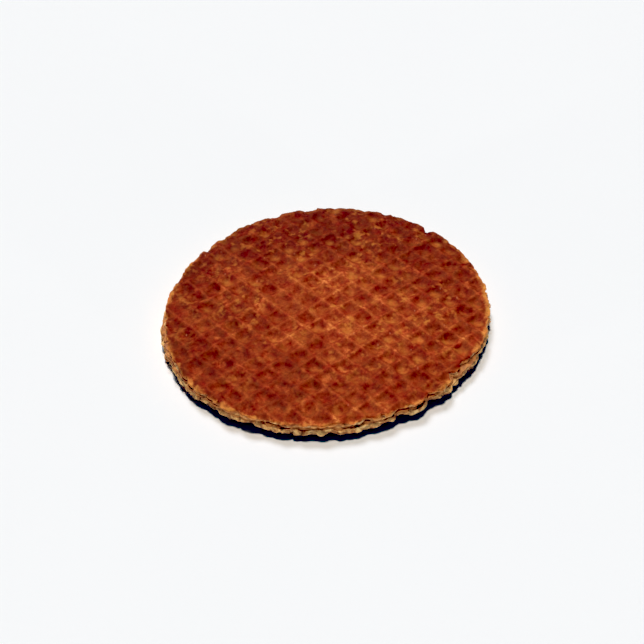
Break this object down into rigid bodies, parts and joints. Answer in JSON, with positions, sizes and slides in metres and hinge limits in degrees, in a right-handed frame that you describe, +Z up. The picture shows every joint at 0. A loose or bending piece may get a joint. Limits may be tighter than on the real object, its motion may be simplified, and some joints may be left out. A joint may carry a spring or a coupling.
{
  "type": "stroopwafel",
  "caption": "Round syrup wafer lying flat: two browned waffle discs with square pits and a ragged cut rim, held together by a layer of dark syrup.",
  "frame": {"origin": "middle of the outline on the surface that the biscuit lies on, at the level of the ridges underneath", "axes": "+Z up through the thickness of the disc; +X and +Y lie in the disc, with the chipped rim towards -Y"},
  "size_m": [0.1022, 0.104, 0.0063],
  "materials": {
    "baked_wafer": "browned, lightly waxy crust with a pale dry crumb where it is cut",
    "dark_syrup": "sticky and glossy"
  },
  "bodies": {
    "root": {"upper_wafer": "baked_wafer", "syrup_filling": "dark_syrup", "lower_wafer": "baked_wafer"}
  },
  "joints": []
}
